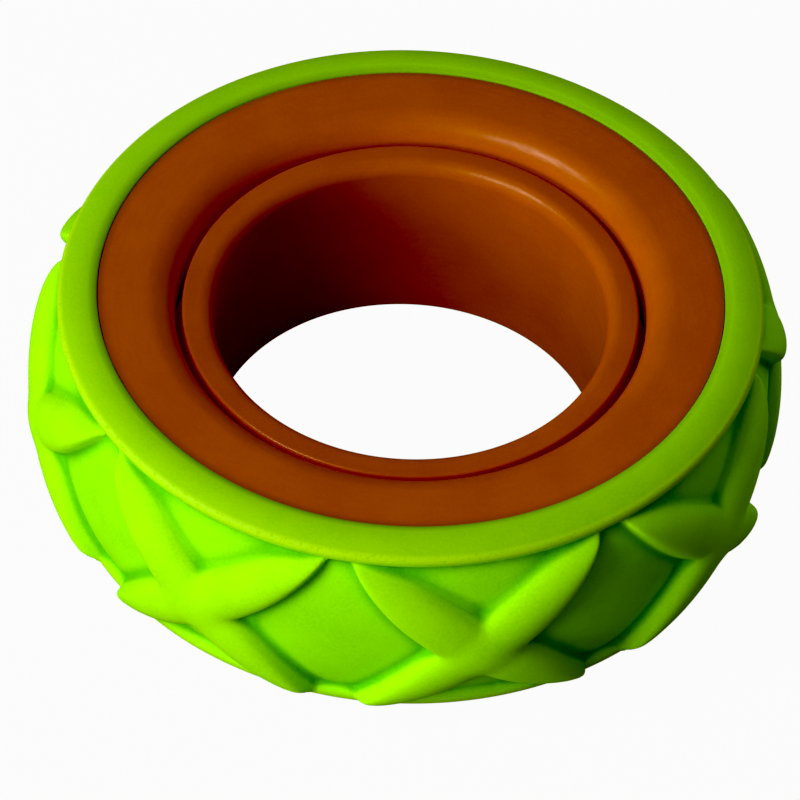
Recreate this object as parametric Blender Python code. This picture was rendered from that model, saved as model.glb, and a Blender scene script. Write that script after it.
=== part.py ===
# A spinner ring lying on its side. A plastic finger band sits inside a hub ring, and the hub ring carries a
# soft rubber tyre with eight raised crossings of leaf-shaped ribs. Hub and tyre turn freely on the band.
# Metres, +Z along the ring's axis, with the origin on the surface it rests on, at the middle of the bore.

import math

import bmesh
import bpy

MM = 0.001

# Tyre: a rounded rim at each face and a barrel between them
TYRE_HEIGHT = 10.8 * MM
TYRE_INNER_RADIUS = 14.65 * MM
TYRE_INNER_ROUND = 0.3 * MM
REST_LAND_WIDTH = 0.5 * MM
RIM_RADIUS = 16.35 * MM
RIM_ROUND = 0.43 * MM
RIM_DROP = 0.1 * MM
WAIST_RADIUS = 16.9 * MM
WAIST_POWER = 2.4

# Ribs of the tyre, which cross in the middle and run out on the rims
CROSSINGS = 8
RIB_REACH = math.radians(20.0)
RIB_TIP = math.radians(20.7)
RIB_HALF_WIDTH = 1.45 * MM
RIB_CREST_RADIUS = 17.7 * MM
RIB_END_RADIUS = 16.2 * MM
RIB_END_HEIGHT = 4.95 * MM
CREST_POWER = 1.9
LEAF_POWER = 2.4
PANEL_SIDE_POWER = 0.5
RIM_SIDE_POWER = 0.65
BOSS_HALF_ANGLE = math.radians(5.5)
BOSS_HALF_HEIGHT = 2.0 * MM
BOSS_SHARE = 0.55
MERGE_POWER = 6

# Hub ring
HUB_HEIGHT = 10.4 * MM
HUB_RADIUS = 14.4 * MM
HUB_MOUTH_RADIUS = 10.95 * MM
HUB_LIP_ROUND = 0.85 * MM
HUB_EDGE_BEVEL = 0.25 * MM

# Finger band
BAND_HEIGHT = 9.6 * MM
BAND_RADIUS = 10.6 * MM
BORE_RADIUS = 9.15 * MM
UPPER_LIP_ROUND = 0.7 * MM
LOWER_LIP_ROUND = 0.25 * MM
BAND_EDGE_BEVEL = 0.15 * MM

# The band's keeper, a raised rib round its outside, runs in a groove of the hub ring with some end play
KEEPER_RISE = 0.8 * MM
KEEPER_TOP_HALF_WIDTH = 1.2 * MM
KEEPER_FOOT_HALF_WIDTH = 2.2 * MM
END_PLAY = 0.6 * MM

# Facets
RING_COLUMNS = 48
COLUMNS_PER_HALF_CROSSING = 8
PANEL_PLACES = (0.5, 1.0)
RIB_PLACES = (0.12, 0.5, 0.88, 1.0)
UNDERCUT_ROWS = 2
RIM_STEPS = 2
SMALL_ROUND_STEPS = 2
BAND_LIP_STEPS = 3
HUB_LIP_STEPS = 4
NARROWEST_ROW = 0.06 * MM
SMOOTH_ANGLE = math.radians(40)


def arc(centre_radius, centre_height, radius, start, end, steps):
    """Points of a round stretch of a profile, from one angle in degrees to another."""
    points = []
    for step in range(steps + 1):
        angle = math.radians(start + (end - start) * step / steps)
        points.append((centre_radius + radius * math.cos(angle), centre_height + radius * math.sin(angle)))
    return points


def with_mirror(upper_points):
    """Points above the middle, followed by their mirror images below it."""
    return upper_points + [(radius, -height) for radius, height in reversed(upper_points) if height > 0]


def ring_object(name, columns, height, material, parent=None):
    """A closed ring whose section at each column is a list of (radius, height) points."""
    mesh = bpy.data.meshes.new(name)
    shape = bmesh.new()
    loops = []
    for angle, profile in columns:
        cosine = math.cos(angle)
        sine = math.sin(angle)
        loops.append([shape.verts.new((radius * cosine, radius * sine, z)) for radius, z in profile])
    for index, loop in enumerate(loops):
        following = loops[(index + 1) % len(loops)]
        for point in range(len(loop)):
            after = (point + 1) % len(loop)
            shape.faces.new((loop[point], loop[after], following[after], following[point]))
    bmesh.ops.recalc_face_normals(shape, faces=shape.faces)
    shape.to_mesh(mesh)
    shape.free()
    mesh.shade_smooth()
    mesh.set_sharp_from_angle(angle=SMOOTH_ANGLE)
    mesh.materials.append(material)
    piece = bpy.data.objects.new(name, mesh)
    bpy.context.collection.objects.link(piece)
    piece.location.z = height
    if parent is not None:
        piece.parent = parent
    return piece


def turned_ring(name, profile, height, material, parent=None):
    """A ring with the same section all the way round."""
    columns = [(math.tau * column / RING_COLUMNS, profile) for column in range(RING_COLUMNS)]
    return ring_object(name, columns, height, material, parent)


def finish(name, colour, roughness):
    """A plain Principled BSDF finish."""
    material = bpy.data.materials.new(name)
    material.use_nodes = True
    shader = material.node_tree.nodes["Principled BSDF"]
    shader.inputs["Base Color"].default_value = (*colour, 1.0)
    shader.inputs["Roughness"].default_value = roughness
    shader.inputs["Metallic"].default_value = 0.0
    material.diffuse_color = (*colour, 1.0)
    return material


def make_finger_band(material):
    """The band worn on the finger: straight bore, rounded lips and a keeper round the outside."""
    half = BAND_HEIGHT / 2
    lower = BORE_RADIUS + LOWER_LIP_ROUND
    upper = BORE_RADIUS + UPPER_LIP_ROUND
    lower_lip = arc(lower, LOWER_LIP_ROUND - half, LOWER_LIP_ROUND, 270, 180, SMALL_ROUND_STEPS)
    upper_lip = arc(upper, half - UPPER_LIP_ROUND, UPPER_LIP_ROUND, 180, 90, BAND_LIP_STEPS)
    outside = [
        (BAND_RADIUS - BAND_EDGE_BEVEL, half),
        (BAND_RADIUS, half - BAND_EDGE_BEVEL),
        (BAND_RADIUS, KEEPER_FOOT_HALF_WIDTH),
        (BAND_RADIUS + KEEPER_RISE, KEEPER_TOP_HALF_WIDTH),
    ]
    return turned_ring("finger_band", lower_lip + upper_lip + with_mirror(outside), half, material)


def make_hub_ring(material, spinner):
    """The flat-faced ring that turns on the band, with rounded mouths and the groove for the keeper."""
    half = HUB_HEIGHT / 2
    lip = HUB_MOUTH_RADIUS + HUB_LIP_ROUND
    groove_room = END_PLAY + HUB_MOUTH_RADIUS - BAND_RADIUS
    upper = [
        (HUB_MOUTH_RADIUS + KEEPER_RISE, KEEPER_TOP_HALF_WIDTH + groove_room),
        (HUB_MOUTH_RADIUS, KEEPER_FOOT_HALF_WIDTH + groove_room),
    ]
    upper += arc(lip, half - HUB_LIP_ROUND, HUB_LIP_ROUND, 180, 90, HUB_LIP_STEPS)
    upper += [(HUB_RADIUS - HUB_EDGE_BEVEL, half), (HUB_RADIUS, half - HUB_EDGE_BEVEL)]
    return turned_ring("hub_ring", with_mirror(upper), 0.0, material, spinner)


def rim_round_centre():
    """Radius and height, above the tyre's middle, of the centre of the rim's outer rounding."""
    return RIM_RADIUS - RIM_ROUND, TYRE_HEIGHT / 2 - RIM_DROP - RIM_ROUND


def barrel_radius(height):
    """Radius of the barrel between the rims, which falls away to the undercut of each rim."""
    under_rim, rim_height = rim_round_centre()
    share = min(abs(height) / (rim_height - RIM_ROUND), 1.0)
    return WAIST_RADIUS - (WAIST_RADIUS - under_rim) * share ** WAIST_POWER


def rim_side_radius(height):
    """Radius of the lower quarter of the rim's rounding, or nothing below it."""
    rim_radius, rim_height = rim_round_centre()
    drop = rim_height - abs(height)
    if drop >= RIM_ROUND:
        return 0.0
    return rim_radius + math.sqrt(RIM_ROUND ** 2 - drop ** 2)


def crest_height(height):
    """How far the crest of a rib stands above the barrel."""
    share = min(abs(height) / RIB_END_HEIGHT, 1.0)
    bulge = (1 - share ** CREST_POWER) ** (1 / CREST_POWER)
    crest_radius = RIB_END_RADIUS + (RIB_CREST_RADIUS - RIB_END_RADIUS) * bulge
    return max(crest_radius - barrel_radius(height), 0.0)


def rib_centre_height(offset):
    """Height of a rib's centre line above the tyre's middle, at an angle from its crossing."""
    return rim_round_centre()[1] * offset / RIB_REACH


def rib_half_height(offset):
    """Half of a rib's extent along the axis, which tapers like a leaf to its tip."""
    run = WAIST_RADIUS * RIB_REACH
    slope = math.hypot(run, rib_centre_height(RIB_REACH)) / run
    return RIB_HALF_WIDTH * slope * max(0.0, 1.0 - (offset / RIB_TIP) ** LEAF_POWER)


def rib_share(offset, height):
    """Height of one rib's rounded section, as a share of its crest."""
    half_height = rib_half_height(offset)
    if half_height <= 0:
        return 0.0
    across = (height - rib_centre_height(offset)) / half_height
    if abs(across) >= 1:
        return 0.0
    return (1.0 - across * across) ** (RIM_SIDE_POWER if across > 0 else PANEL_SIDE_POWER)


def boss_share(offset, height):
    """Height of the low boss that fills the crossing's upper and lower corners, as a share of the crest."""
    inside = 1.0 - (offset / BOSS_HALF_ANGLE) ** 2 - (height / BOSS_HALF_HEIGHT) ** 2
    return BOSS_SHARE * max(inside, 0.0)


def tyre_radius(offset, height):
    """Radius between the rims' edges, at an angle from the nearest crossing and a height from the middle."""
    shares = (rib_share(offset, height), rib_share(offset, -height), boss_share(offset, height))
    raised = sum(share ** MERGE_POWER for share in shares) ** (1 / MERGE_POWER)
    return max(barrel_radius(height) + raised * crest_height(height), rim_side_radius(height))


def rows_between(start, end, places):
    """Heights of rows at given shares of the way from one height to another."""
    return [start + (end - start) * place for place in places]


def row_heights(offset):
    """Heights of the rows of facets above the middle, which follow the feet of the rib at this angle."""
    rim_height = rim_round_centre()[1]
    top = rim_height - RIM_ROUND
    centre = rib_centre_height(offset)
    half_height = rib_half_height(offset)
    boss = BOSS_HALF_HEIGHT * math.sqrt(max(0.0, 1.0 - (offset / BOSS_HALF_ANGLE) ** 2))
    lowest_foot = len(PANEL_PLACES) * NARROWEST_ROW
    highest_foot = top - len(PANEL_PLACES) * NARROWEST_ROW
    rib_space = len(RIB_PLACES) * NARROWEST_ROW
    lower_foot = min(max(centre - half_height, lowest_foot), highest_foot - rib_space)
    upper_foot = min(max(centre + half_height, boss, lower_foot + rib_space), highest_foot)
    heights = [0.0]
    heights += rows_between(0.0, lower_foot, PANEL_PLACES)
    heights += rows_between(lower_foot, upper_foot, RIB_PLACES)
    heights += rows_between(upper_foot, top, PANEL_PLACES)
    for row in range(1, UNDERCUT_ROWS + 1):
        heights.append(rim_height - RIM_ROUND * math.cos(math.radians(90 * row / UNDERCUT_ROWS)))
    return heights


def tyre_section(offset):
    """The tyre's closed section at an angle from the nearest crossing."""
    half = TYRE_HEIGHT / 2
    inner = TYRE_INNER_RADIUS + TYRE_INNER_ROUND
    rim_radius, rim_height = rim_round_centre()
    upper = arc(inner, half - TYRE_INNER_ROUND, TYRE_INNER_ROUND, 180, 90, SMALL_ROUND_STEPS)
    upper += [(inner + REST_LAND_WIDTH, half)]
    upper += arc(rim_radius, rim_height, RIM_ROUND, 90, 90 / RIM_STEPS, RIM_STEPS - 1)
    upper += [(tyre_radius(offset, height), height) for height in reversed(row_heights(offset))]
    return with_mirror(upper)


def make_tyre(material, spinner):
    """The rubber tyre, with a rest land on each rim and its ribs raised on a barrel between them."""
    columns = []
    steps = 2 * COLUMNS_PER_HALF_CROSSING
    pitch = math.tau / CROSSINGS
    for crossing in range(CROSSINGS):
        for step in range(steps):
            offset = pitch * (step / steps - 0.5)
            columns.append((pitch * crossing + offset, tyre_section(abs(offset))))
    return ring_object("tyre", columns, 0.0, material, spinner)


def main():
    for leftover in list(bpy.data.objects):
        bpy.data.objects.remove(leftover, do_unlink=True)

    spinner = bpy.data.objects.new("spinner", None)
    bpy.context.collection.objects.link(spinner)
    spinner.location.z = TYRE_HEIGHT / 2

    orange_band = finish("orange_band_plastic", (0.36, 0.075, 0.002), 0.38)
    orange_hub = finish("orange_hub_plastic", (0.38, 0.08, 0.002), 0.4)
    green_rubber = finish("lime_rubber", (0.25, 0.72, 0.0), 0.65)
    make_finger_band(orange_band)
    make_hub_ring(orange_hub, spinner)
    make_tyre(green_rubber, spinner)


main()
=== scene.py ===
# A spinner ring resting on its side: an orange finger band, an orange hub that turns on it,
# and a soft lime tyre with eight crossings of leaf-shaped ribs.
# Everything is in metres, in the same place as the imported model. The dictionaries are in mm.

import math

import bpy
import numpy as np
from mathutils import Matrix, Vector


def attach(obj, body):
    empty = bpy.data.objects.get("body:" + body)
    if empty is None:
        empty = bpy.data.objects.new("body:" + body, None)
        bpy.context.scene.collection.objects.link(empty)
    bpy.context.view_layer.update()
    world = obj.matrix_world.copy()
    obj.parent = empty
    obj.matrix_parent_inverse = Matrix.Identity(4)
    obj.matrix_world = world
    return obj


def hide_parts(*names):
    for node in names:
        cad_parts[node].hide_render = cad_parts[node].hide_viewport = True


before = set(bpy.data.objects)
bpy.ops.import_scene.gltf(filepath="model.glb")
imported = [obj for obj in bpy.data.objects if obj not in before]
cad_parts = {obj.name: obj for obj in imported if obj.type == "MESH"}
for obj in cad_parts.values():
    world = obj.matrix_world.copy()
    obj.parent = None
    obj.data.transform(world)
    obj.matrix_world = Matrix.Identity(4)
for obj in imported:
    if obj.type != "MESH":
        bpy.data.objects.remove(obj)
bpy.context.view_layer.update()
mm = 0.001
print("frame loaded:", ", ".join(sorted(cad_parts)))


# shader maths written as Python: a Flow is one output socket, a Paint is one tree of nodes

class Flow:
    def __init__(self, paint, socket):
        self.paint = paint
        self.socket = socket

    def __add__(self, other):
        return self.paint.maths("ADD", self, other)

    def __sub__(self, other):
        return self.paint.maths("SUBTRACT", self, other)

    def __rsub__(self, other):
        return self.paint.maths("SUBTRACT", other, self)

    def __mul__(self, other):
        return self.paint.maths("MULTIPLY", self, other)

    def __truediv__(self, other):
        return self.paint.maths("DIVIDE", self, other)

    def __rtruediv__(self, other):
        return self.paint.maths("DIVIDE", other, self)

    __radd__ = __add__
    __rmul__ = __mul__

    def between(self, low, high):  # 0 below low, 1 above high, smooth between
        sockets = {"Value": self, "From Min": low, "From Max": high}
        return self.paint.node("ShaderNodeMapRange", {"interpolation_type": "SMOOTHSTEP"}, sockets)

    def scaled(self, amounts):  # a vector times a vector
        settings = {"operation": "MULTIPLY"}
        return self.paint.node("ShaderNodeVectorMath", settings, {0: self, 1: amounts})

    def distanceTo(self, point):
        settings = {"operation": "DISTANCE"}
        return self.paint.node("ShaderNodeVectorMath", settings, {0: self, 1: point}, "Value")

    def part(self, letter):  # one part of a vector
        return self.paint.node("ShaderNodeSeparateXYZ", {}, {0: self}, letter)

    def noise(self, size, detail=2.0, rough=0.5):  # at this place, in blotches size mm wide
        sockets = {"Vector": self, "Scale": 1 / (size * mm), "Detail": detail, "Roughness": rough}
        return self.paint.node("ShaderNodeTexNoise", {}, sockets, "Fac")


class Paint:
    def __init__(self, owner, shader="Principled BSDF"):  # owner is a new material or world
        owner.use_nodes = True
        self.owner = owner
        self.tree = owner.node_tree
        self.shader = self.tree.nodes[shader]

    def node(self, kind, settings, sockets, output=0):
        made = self.tree.nodes.new(kind)
        for name, value in settings.items():
            setattr(made, name, value)
        for key, value in sockets.items():
            self.feed(made.inputs[key], value)
        return Flow(self, made.outputs[output])

    def feed(self, socket, value):
        if isinstance(value, Flow):
            self.tree.links.new(value.socket, socket)
        else:
            socket.default_value = value

    def maths(self, operation, *values):
        return self.node("ShaderNodeMath", {"operation": operation}, dict(enumerate(values)))

    def place(self):  # where a point is on its object, in metres
        return self.node("ShaderNodeTexCoord", {}, {}, "Object")

    def stored(self, name):  # a value kept on the mesh
        return self.node("ShaderNodeAttribute", {"attribute_name": name}, {}, "Fac")

    def mix(self, amount, first, second):
        colours = [c if isinstance(c, Flow) else (*c, 1.0) for c in (first, second)]
        sockets = {0: amount, 6: colours[0], 7: colours[1]}
        return self.node("ShaderNodeMix", {"data_type": "RGBA"}, sockets, 2)

    def bump(self, height, depth):  # depth in mm
        return self.node("ShaderNodeBump", {}, {"Height": height, "Distance": depth * mm})

    def finish(self, values):
        for name, value in values.items():
            self.feed(self.shader.inputs[name], value)
        return self.owner


def arc(centreRadius, centreHeight, radius, start, end, steps):
    turns = np.radians(np.linspace(start, end, steps + 1))
    points = [(radius * math.cos(turn), radius * math.sin(turn)) for turn in turns]
    return [(centreRadius + out, centreHeight + up) for out, up in points]


def mirrored(upper):  # the upper half of a section, then the same below the middle
    return list(upper) + [(r, -z) for r, z in reversed(upper) if z > 0]


def ringObject(name, sections, middle, body, node, material, stored=None):
    # sections is columns x points x (radius, height above the middle)
    sections = np.asarray(sections, float)
    columns, points = sections.shape[:2]
    turns = np.arange(columns) * math.tau / columns
    spots = np.empty((columns, points, 3))
    spots[:, :, 0] = sections[:, :, 0] * np.cos(turns)[:, None]
    spots[:, :, 1] = sections[:, :, 0] * np.sin(turns)[:, None]
    spots[:, :, 2] = sections[:, :, 1] + middle
    number = np.arange(columns * points).reshape(columns, points)
    after = np.roll(number, -1, axis=0)
    quads = np.stack([number, np.roll(number, -1, 1), np.roll(after, -1, 1), after], -1)
    quads = quads.reshape(-1, 4).tolist()
    mesh = bpy.data.meshes.new(name)
    mesh.from_pydata((spots.reshape(-1, 3) * mm).tolist(), [], quads)
    for label, values in (stored or {}).items():
        kept = mesh.attributes.new(label, "FLOAT", "POINT")
        kept.data.foreach_set("value", np.asarray(values, np.float32).ravel())
    mesh.shade_smooth()
    mesh.materials.append(material)
    piece = bpy.data.objects.new(name, mesh)
    bpy.context.collection.objects.link(piece)
    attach(piece, body)
    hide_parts(node)
    print(name, "made:", len(quads) * 2, "triangles")


plastic = {  # the finish that band and hub share
    "streakTurns": 2.2, "streakScale": 5.0, "streakDetail": 3.0,
    "blotchSize": 2.4, "grainSize": 0.13, "grainRough": 0.6,
    "blotchShare": 0.4, "grainShare": 0.4, "streakShare": 0.2,
    "shadeRange": (0.36, 0.64), "shadeAmount": 0.5,
    "roughness": 0.35, "dullStreaks": (0.4, 0.7), "dullAmount": 0.1,
    "rippleSize": 0.5, "bumpDepth": 0.014,
    "ior": 1.5, "shine": 0.5, "shineTint": (1.0, 0.66, 0.48, 1.0),
}


def plasticPaint(name, look):
    paint = Paint(bpy.data.materials.new(name))
    place = paint.place()
    axis = place.scaled((1, 1, 0))
    radius = axis.distanceTo((0, 0, 0)) / mm
    # streaks run round the ring, as the mould was turned
    turn = paint.maths("ARCTAN2", axis.part("X"), axis.part("Y")) * plastic["streakTurns"]
    around = {"X": turn, "Y": radius, "Z": place.part("Z") / mm}
    streak = paint.node("ShaderNodeTexNoise", {}, {
        "Vector": paint.node("ShaderNodeCombineXYZ", {}, around),
        "Scale": plastic["streakScale"],
        "Detail": plastic["streakDetail"],
    }, "Fac")
    grain = place.noise(plastic["grainSize"], rough=plastic["grainRough"])
    shade = place.noise(plastic["blotchSize"]) * plastic["blotchShare"]
    shade = shade + grain * plastic["grainShare"] + streak * plastic["streakShare"]
    shade = shade.between(*plastic["shadeRange"]) * plastic["shadeAmount"]
    colour = paint.mix(shade, look["colour"], look["deepColour"])
    # painted shade darkens the band's edge by the gap and the hub's edge by the tyre
    colour = paint.mix(look["seamShade"](radius), colour, look["seamShadeColour"])
    dull = streak.between(*plastic["dullStreaks"]) * plastic["dullAmount"]
    relief = grain * 0.5 + place.noise(plastic["rippleSize"]) * 0.35 + streak * 0.15
    return paint.finish({
        "Base Color": colour,
        # painted glow: a dark red glow in the gap between band and hub
        "Emission Color": paint.mix(look["gap"](radius), (0.0, 0.0, 0.0), look["gapGlow"]),
        "Emission Strength": 1.0,
        "Roughness": dull + (plastic["roughness"] - plastic["dullAmount"] / 2),
        "Normal": paint.bump(relief, plastic["bumpDepth"]),
        "IOR": plastic["ior"],
        "Specular IOR Level": plastic["shine"],
        "Specular Tint": plastic["shineTint"],
    })


band = {
    "height": 9.6, "radius": 10.61, "bore": 9.15, "boreSteps": 7, "columns": 480,
    "upperLip": 0.7, "upperLipSteps": 14, "lowerLip": 0.25, "lowerLipSteps": 8,
    "edge": 0.15, "edgeSteps": 5,
    "keeperRise": 0.7, "keeperTop": 1.2, "keeperFoot": 2.1,  # the rib that holds the hub on
    "colour": (0.41, 0.105, 0.002), "deepColour": (0.31, 0.073, 0.001),
    # a painted dark red glow in the gap between band and hub stands in for light soaked through the
    # plastic
    "gap": lambda radius: radius.between(10.4, 10.56), "gapGlow": (0.028, 0.005, 0.0),
    # painted shade on the band's outer edge, by the gap
    "seamShade": lambda radius: radius.between(10.5, 10.66) * 0.5, "seamShadeColour": (0.3, 0.02, 0.0),
}


def makeBand():
    half, bore, edge = band["height"] / 2, band["bore"], band["edge"]
    lower, upper = band["lowerLip"], band["upperLip"]
    section = arc(bore + lower, lower - half, lower, 270, 180, band["lowerLipSteps"])
    heights = np.linspace(lower - half, half - upper, band["boreSteps"] + 1)
    section += [(bore, z) for z in heights[1:-1]]
    section += arc(bore + upper, half - upper, upper, 180, 90, band["upperLipSteps"])
    outer = arc(band["radius"] - edge, half - edge, edge, 90, 0, band["edgeSteps"])
    outer += [(band["radius"], band["keeperFoot"])]
    outer += [(band["radius"] + band["keeperRise"], band["keeperTop"])]
    section += mirrored(outer)
    sections = [section] * band["columns"]
    material, slot = plasticPaint("orangeBandPlastic", band), "orange_band_plastic"
    ringObject("fingerBand", sections, half, "band", "finger_band", material)


hub = {
    "height": 10.4, "middle": 5.4, "radius": 14.5, "columns": 480,
    "mouth": 10.94, "lipAcross": 1.45, "lipDown": 1.25, "lipSteps": 20, "dish": 0.08,
    "edge": 0.03, "edgeSteps": 5, "endPlay": 0.6,
    "colour": (0.42, 0.108, 0.002), "deepColour": (0.32, 0.075, 0.001),
    # a painted dark red glow in the hub's mouth, by the gap
    "gap": lambda radius: 1 - radius.between(10.95, 11.2), "gapGlow": (0.028, 0.005, 0.0),
    # painted shade on the hub's outer edge, where the tyre meets it
    "seamShade": lambda radius: radius.between(14.05, 14.5) * 0.55, "seamShadeColour": (0.2, 0.07, 0.001),
}


def makeHub():
    half, mouth, edge = hub["height"] / 2, hub["mouth"], hub["edge"]
    room = hub["endPlay"] + mouth - band["radius"]
    # a groove for the band's rib, then the lip, which is wider than it is deep
    upper = [(mouth + band["keeperRise"], band["keeperTop"] + room)]
    upper += [(mouth, band["keeperFoot"] + room)]
    for turn in np.radians(np.linspace(0, 90, hub["lipSteps"] + 1)):
        inward, up = hub["lipAcross"] * (1 - math.cos(turn)), hub["lipDown"] * (math.sin(turn) - 1)
        upper.append((mouth + inward, half - hub["dish"] + up))
    upper += arc(hub["radius"] - edge, half - edge, edge, 90, 0, hub["edgeSteps"])
    sections = [mirrored(upper)] * hub["columns"]
    material, slot = plasticPaint("orangeHubPlastic", hub), "orange_hub_plastic"
    ringObject("hubRing", sections, hub["middle"], "spinner", "hub_ring", material)


tyre = {
    "height": 10.8,
    # the crowned top of a rim, from the hub out to the side
    "innerRadius": 14.53, "innerDrop": 0.16, "innerPower": 1.6, "innerSteps": 7, "crown": 14.98,
    "rim": 16.37, "rimRound": 0.38, "rimDrop": 0.29, "rimTurn": (60, 10), "rimSteps": 6,
    # the barrel between the rims
    "waist": 16.85, "waistPower": 2.6,
    # the ribs: reach and tip are angles from the middle of a crossing, which sits a little low
    "crossings": 8, "sag": 0.35,
    "reach": 20.1, "tip": 20.9, "halfWidth": 1.46, "leafPower": 2.7,
    "crest": 17.83, "crestEnd": 16.05, "crestEndHeight": 4.85, "crestPower": 2.1,
    "panelSidePower": 0.4, "rimSidePower": 0.42, "tipRun": 0.5, "tipFall": 0.6,
    "bossHalfAngle": 6.0, "bossHalfHeight": 2.15, "bossShare": 0.65, "mergePower": 6.0,
    "softness": 0.11, "creaseWidth": 0.55,
    # the mesh: rows closer together on the ribs than on the panels
    "gridAcross": 150, "gridDown": 324, "columnsPerCrossing": 100,
    "panelRows": 12, "panelRowPower": 1.7, "ribRows": 18,
    "leastPanel": 0.1, "leastRib": 0.1, "lastLowerFoot": 0.2, "lastUpperFoot": 0.08,
}


def rimCentre():
    height = tyre["height"] / 2 - tyre["rimDrop"] - tyre["rimRound"]
    return tyre["rim"] - tyre["rimRound"], height


def rimTop():
    half, power, width = tyre["height"] / 2, tyre["innerPower"], tyre["crown"] - tyre["innerRadius"]
    points = []
    for turn in np.radians(np.linspace(0, 90, tyre["innerSteps"] + 1)[:-1]):
        out, up = math.cos(turn) ** (2 / power), math.sin(turn) ** (2 / power)
        points.append((tyre["crown"] - width * out, half + tyre["innerDrop"] * (up - 1)))
    side = arc(*rimCentre(), tyre["rimRound"], *tyre["rimTurn"], tyre["rimSteps"])
    run, fall = side[0][0] - tyre["crown"], half - side[0][1]
    quarters = (0, 0.25, 0.5, 0.75)
    points += [(tyre["crown"] + run * share, half - fall * share ** 2) for share in quarters]
    return points + side


def ribCentre(offset):
    return rimCentre()[1] * (offset / tyre["reach"])


def ribHalf(offset):
    run = tyre["waist"] * math.radians(tyre["reach"])
    slope = math.hypot(run, rimCentre()[1]) / run
    leaf = np.clip(1 - (offset / tyre["tip"]) ** tyre["leafPower"], 0, None)
    return tyre["halfWidth"] * slope * leaf


def blurred(field, spread, stepDown, stepAcross):
    # a Gaussian blur in mm over a grid whose edges are mirror lines
    for axis, step in ((0, stepAcross), (1, stepDown)):
        reach = max(1, int(3 * spread / step))
        weights = np.exp(-0.5 * (np.arange(-reach, reach + 1) * step / spread) ** 2)
        weights /= weights.sum()
        pad = [(0, 0), (0, 0)]
        pad[axis] = (reach, reach)
        wide = np.pad(field, pad, mode="reflect")
        field = np.apply_along_axis(np.convolve, axis, wide, weights, mode="valid")
    return field


def reliefGrid():
    # radius over half of one crossing: angle from the crossing, height above the middle of the tyre
    rimRadius, rimHeight = rimCentre()
    angles = np.linspace(0, 180 / tyre["crossings"], tyre["gridAcross"] + 1)
    heights = np.linspace(-rimHeight, rimHeight, tyre["gridDown"] + 1)
    offset, height = np.meshgrid(angles, heights, indexing="ij")
    share = np.clip(abs(height) / (rimHeight - tyre["rimRound"]), 0, 1)
    barrel = tyre["waist"] - (tyre["waist"] - rimRadius) * share ** tyre["waistPower"]
    lowered = height + tyre["sag"]
    share = np.clip(abs(lowered) / tyre["crestEndHeight"], 0, 1)
    bulge = (1 - share ** tyre["crestPower"]) ** (1 / tyre["crestPower"])
    crest = tyre["crestEnd"] + (tyre["crest"] - tyre["crestEnd"]) * bulge
    crest = np.clip(crest - barrel, 0, None)
    raised = np.zeros_like(offset)
    for way in (1, -1):  # the two ribs that cross
        across = (way * lowered - ribCentre(offset)) / np.maximum(ribHalf(offset), 1e-6)
        inside = np.clip(1 - across ** 2, 0, 1)
        towardsPanel, towardsRim = inside ** tyre["panelSidePower"], inside ** tyre["rimSidePower"]
        raised += np.where(across > 0, towardsRim, towardsPanel) ** tyre["mergePower"]
    boss = 1 - (offset / tyre["bossHalfAngle"]) ** 2 - (lowered / tyre["bossHalfHeight"]) ** 2
    raised += (tyre["bossShare"] * np.clip(boss, 0, None)) ** tyre["mergePower"]
    ending = np.clip((abs(height) - rimHeight) / tyre["tipRun"] + 1, 0, 1)
    raised = raised ** (1 / tyre["mergePower"]) * crest * (1 - tyre["tipFall"] * ending ** 2)
    stepAcross = tyre["waist"] * math.radians(angles[1])
    stepDown = heights[1] - heights[0]
    raised = blurred(raised, tyre["softness"], stepDown, stepAcross)
    drop = np.clip(rimHeight - abs(height), 0, tyre["rimRound"])
    rimSide = rimRadius + np.sqrt(tyre["rimRound"] ** 2 - drop ** 2)
    surface = np.maximum(barrel + raised, np.where(drop < tyre["rimRound"], rimSide, 0))
    wide = blurred(surface, tyre["creaseWidth"], stepDown, stepAcross)
    return angles, heights, surface, wide - surface, surface - barrel


def sampled(grid, angles, heights, offset, height):
    # reads a grid between its points, and stays just inside its last cells
    column = np.clip(offset / angles[1], 0, len(angles) - 1.001)
    row = np.clip((height - heights[0]) / (heights[1] - heights[0]), 0, len(heights) - 1.001)
    i, j = int(column), row.astype(int)
    a, b = column - i, row - j
    near = grid[i, j] * (1 - b) + grid[i, j + 1] * b
    far = grid[i + 1, j] * (1 - b) + grid[i + 1, j + 1] * b
    return near * (1 - a) + far * a


def tyreRows(offset, shift):
    # rows from the middle to a rim that follow the feet of the rib at this angle, moved by shift
    rimHeight = rimCentre()[1]
    centre, half = ribCentre(offset) + shift, float(ribHalf(offset))
    inBoss = math.sqrt(max(0, 1 - (offset / tyre["bossHalfAngle"]) ** 2))
    boss = tyre["bossHalfHeight"] * inBoss + shift
    lower = min(max(centre - half, tyre["leastPanel"]), rimHeight - tyre["lastLowerFoot"])
    upper = max(centre + half, boss, lower + tyre["leastRib"])
    upper = min(upper, rimHeight - tyre["lastUpperFoot"])
    rising = 1 - (1 - np.linspace(0, 1, tyre["panelRows"] + 1)) ** tyre["panelRowPower"]
    rounded = 0.5 - 0.5 * np.cos(np.pi * np.linspace(0, 1, tyre["ribRows"] + 1))
    onPanel, onRib = lower * rising[:-1], lower + (upper - lower) * rounded[:-1]
    return np.concatenate([onPanel, onRib, upper + (rimHeight - upper) * rising])


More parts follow.
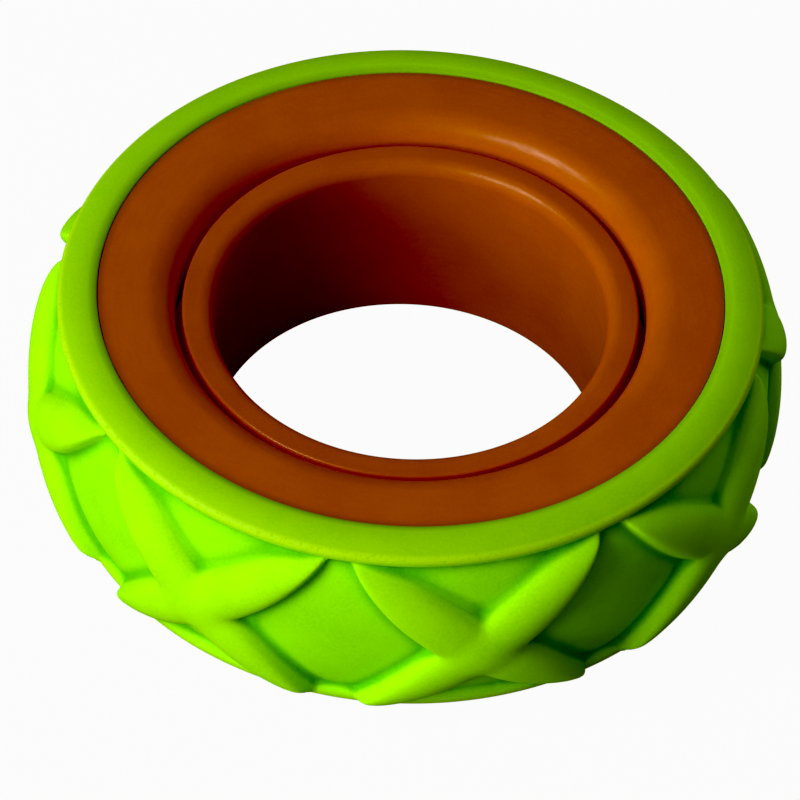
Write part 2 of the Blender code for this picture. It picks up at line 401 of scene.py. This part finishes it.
def makeTyre():
    angles, heights, surface, hollow, raised = reliefGrid()
    top = rimTop()
    bottom = [(r, -z) for r, z in reversed(top)]
    sections, hollows, raises = [], [], []
    across = tyre["columnsPerCrossing"]
    for column in range(across * tyre["crossings"]):
        offset = abs((column / across + 0.5) % 1 - 0.5) * 360 / tyre["crossings"]
        above, below = tyreRows(offset, -tyre["sag"]), tyreRows(offset, tyre["sag"])
        rows = np.concatenate([above[::-1], -below[1:]])
        radii = sampled(surface, angles, heights, offset, rows)
        sections.append(top + list(zip(radii, rows)) + bottom)
        for kept, grid, onRim in ((hollows, hollow, 0.0), (raises, raised, 1.0)):
            values = list(sampled(grid, angles, heights, offset, rows))
            kept.append([onRim] * len(top) + values + [onRim] * len(bottom))
    middle, stored = tyre["height"] / 2, {"hollow": hollows, "raised": raises}
    material, slot = rubberPaint(), "lime_rubber"
    ringObject("tyreRubber", sections, middle, "spinner", "tyre", material, stored)


rubber = {  # heights are from the middle of the tyre
    # painted shade: the recessed panels are a purer green than the ribs
    "colour": (0.33, 0.88, 0.0), "panelShadeColour": (0.27, 0.86, 0.0), "raisedRange": (0.05, 0.5),
    # painted shade: the tops of the rims are darker and yellower
    "rimShadeColour": (0.28, 0.66, 0.0), "rimHeights": (4.45, 4.9),
    # painted shade in the creases beside the ribs; the random specks share this colour
    "deepColour": (0.05, 0.45, 0.005), "deepRange": (0.02, 0.26), "deepAmount": 0.78,
    "speckRange": (0.4, 0.7), "speckAmount": 0.18,
    # painted shade along the tyre's inner edge, by the hub
    "seamShadeColour": (0.12, 0.3, 0.0), "seamShadeRadii": (14.5, 15.0), "seamShadeAmount": 0.6,
    # a painted highlight along the outer edge of the rim, broken up by the grain
    "edgeHighlightColour": (0.62, 1.0, 0.08), "edgeHighlightRadii": (16.05, 16.25), "edgeHighlightHeights": (4.7, 4.85),
    "edgeHighlightGrain": (0.3, 0.5), "edgeHighlightAmount": 0.3,
    "blotchSize": 1.8, "blotchDetail": 3.0, "blotchRough": 0.55,
    "grainSize": 0.14, "grainRough": 0.6,
    "roughness": 0.62, "dullGrain": (0.3, 0.7), "dullAmount": 0.1,
    "rippleSize": 0.45, "bumpDepth": 0.016, "ior": 1.45, "shine": 0.22,
}


def rubberPaint():
    paint = Paint(bpy.data.materials.new("limeRubber"))
    place = paint.place()
    radius = place.scaled((1, 1, 0)).distanceTo((0, 0, 0)) / mm
    rise = paint.maths("ABSOLUTE", place.part("Z") / mm - tyre["height"] / 2)
    blotch = place.noise(rubber["blotchSize"], rubber["blotchDetail"], rubber["blotchRough"])
    grain = place.noise(rubber["grainSize"], rough=rubber["grainRough"])
    # painted shade darkens the hollows beside the ribs, and soft specks all over are darker too
    deep = paint.stored("hollow").between(*rubber["deepRange"]) * rubber["deepAmount"]
    specks = (blotch * 0.5 + grain * 0.5).between(*rubber["speckRange"]) * rubber["speckAmount"]
    raised = paint.stored("raised").between(*rubber["raisedRange"])
    # painted shade along the tyre's inner edge, by the hub
    seamShade = (1 - radius.between(*rubber["seamShadeRadii"])) * rubber["seamShadeAmount"]
    # painted highlight along the rim's outer edge
    edge = radius.between(*rubber["edgeHighlightRadii"]) * rise.between(*rubber["edgeHighlightHeights"])
    edge = edge * grain.between(*rubber["edgeHighlightGrain"]) * rubber["edgeHighlightAmount"]
    # painted shade: the recessed panels a purer green, the rim tops darker
    colour = paint.mix(raised, rubber["panelShadeColour"], rubber["colour"])
    colour = paint.mix(rise.between(*rubber["rimHeights"]), colour, rubber["rimShadeColour"])
    colour = paint.mix(deep + specks, colour, rubber["deepColour"])
    colour = paint.mix(seamShade, colour, rubber["seamShadeColour"])
    colour = paint.mix(edge, colour, rubber["edgeHighlightColour"])
    dull = grain.between(*rubber["dullGrain"]) * rubber["dullAmount"]
    relief = grain * 0.55 + place.noise(rubber["rippleSize"]) * 0.45
    return paint.finish({
        "Base Color": colour,
        "Roughness": dull + (rubber["roughness"] - rubber["dullAmount"] / 2),
        "Normal": paint.bump(relief, rubber["bumpDepth"]),
        "IOR": rubber["ior"],
        "Specular IOR Level": rubber["shine"],
    })


makeBand()
makeHub()
makeTyre()
print("ring dressed")


stage = {  # in metres
    "floorSize": 4.0, "floorDrop": 0.00002,
    "floorColour": (0.15, 0.15, 0.15, 1.0), "floorRoughness": 0.9, "floorShine": 0.1,
    "floorGlow": 0.965, "fill": 0.095, "sky": 0.97, "white": (1.0, 1.0, 1.0, 1.0),
}


def makeFloor():
    half = stage["floorSize"] / 2
    corners = [(-half, -half, 0), (half, -half, 0), (half, half, 0), (-half, half, 0)]
    mesh = bpy.data.meshes.new("floor")
    mesh.from_pydata(corners, [], [(0, 1, 2, 3)])
    floor = bpy.data.objects.new("floor", mesh)
    bpy.context.collection.objects.link(floor)
    floor.location.z = -stage["floorDrop"]
    paint = Paint(bpy.data.materials.new("paleFloor"))
    mesh.materials.append(paint.finish({
        "Base Color": stage["floorColour"],
        "Roughness": stage["floorRoughness"],
        "Specular IOR Level": stage["floorShine"],
    }))
    # the camera sees the floor as nearly plain white, while the ring is lit by the grey one
    plain = Flow(paint, paint.shader.outputs[0])
    glow = paint.node("ShaderNodeEmission", {}, {"Color": stage["white"], "Strength": 1.0})
    seen = paint.node("ShaderNodeLightPath", {}, {}, "Is Camera Ray") * stage["floorGlow"]
    mixed = paint.node("ShaderNodeMixShader", {}, {0: seen, 1: plain, 2: glow})
    paint.feed(paint.tree.nodes["Material Output"].inputs["Surface"], mixed)


def makeSky():
    world = bpy.data.worlds.new("studio")
    bpy.context.scene.world = world
    paint = Paint(world, "Background")
    seen = paint.node("ShaderNodeLightPath", {}, {}, "Is Camera Ray")
    sockets = {"Value": seen, "To Min": stage["fill"], "To Max": stage["sky"]}
    strength = paint.node("ShaderNodeMapRange", {}, sockets)
    paint.finish({"Color": stage["white"], "Strength": strength})


daylight = (1.0, 0.98, 0.93)
lights = {  # angles seen from the ring, distances in metres
    "windowLow": {
        "azimuth": -157, "elevation": 8, "distance": 0.35, "wide": 0.18, "tall": 0.18,
        "power": 1.02, "colour": daylight, "shines": False,
    },
    "windowHigh": {
        "azimuth": -163, "elevation": 47, "distance": 0.35, "wide": 0.17, "tall": 0.06,
        "power": 0.6, "colour": daylight, "shines": True,
    },
    "windowFront": {
        "azimuth": -144, "elevation": 40, "distance": 0.4, "wide": 0.2, "tall": 0.2,
        "power": 0.28, "colour": daylight, "shines": False,
    },
    "farWall": {
        "azimuth": 35, "elevation": 9, "distance": 0.4, "wide": 0.22, "tall": 0.22,
        "power": 0.46, "colour": (1.0, 1.0, 1.0), "shines": False,
    },
}


def makeLights():
    middle = np.array([0, 0, tyre["height"] / 2 * mm])
    for name, values in lights.items():
        lamp = bpy.data.lights.new(name, "AREA")
        lamp.shape = "RECTANGLE"
        lamp.size = values["wide"]
        lamp.size_y = values["tall"]
        lamp.energy = values["power"]
        lamp.color = values["colour"]
        holder = bpy.data.objects.new(name, lamp)
        bpy.context.collection.objects.link(holder)
        holder.visible_glossy = values["shines"]
        azimuth, elevation = math.radians(values["azimuth"]), math.radians(values["elevation"])
        flat = values["distance"] * math.cos(elevation)
        up = values["distance"] * math.sin(elevation)
        spot = np.array([flat * math.cos(azimuth), flat * math.sin(azimuth), up])
        holder.location = tuple(spot + middle)
        facing = Vector(spot).to_track_quat("Z", "Y")  # shines back at the ring
        holder.rotation_euler = facing.to_euler()


view = {  # in metres, apart from lens and sensor
    "place": (-0.043158, -0.186936, 0.210936),
    "right": (0.98083, -0.19268, 0.02888),
    "up": (0.12245, 0.72495, 0.67784),
    "lens": 270.0, "sensor": 36.0, "nearest": 0.01,
    "blackLevel": (0.015, 0.03, 0.03),
}


def makeCamera():
    right, up = Vector(view["right"]).normalized(), Vector(view["up"]).normalized()
    back = right.cross(up).normalized()
    up = back.cross(right)
    lens = bpy.data.cameras.new("photoView")
    lens.lens = view["lens"]
    lens.sensor_width = view["sensor"]
    lens.clip_start = view["nearest"]
    holder = bpy.data.objects.new("photoView", lens)
    bpy.context.collection.objects.link(holder)
    turn = Matrix((right, up, back)).transposed().to_4x4()
    holder.matrix_world = Matrix.Translation(view["place"]) @ turn
    bpy.context.scene.camera = holder
    colours = bpy.context.scene.view_settings
    colours.view_transform = "Standard"
    colours.use_curve_mapping = True
    colours.curve_mapping.black_level = view["blackLevel"]
    colours.curve_mapping.update()


makeFloor()
makeSky()
makeLights()
makeCamera()
print("stage, lights and camera ready")
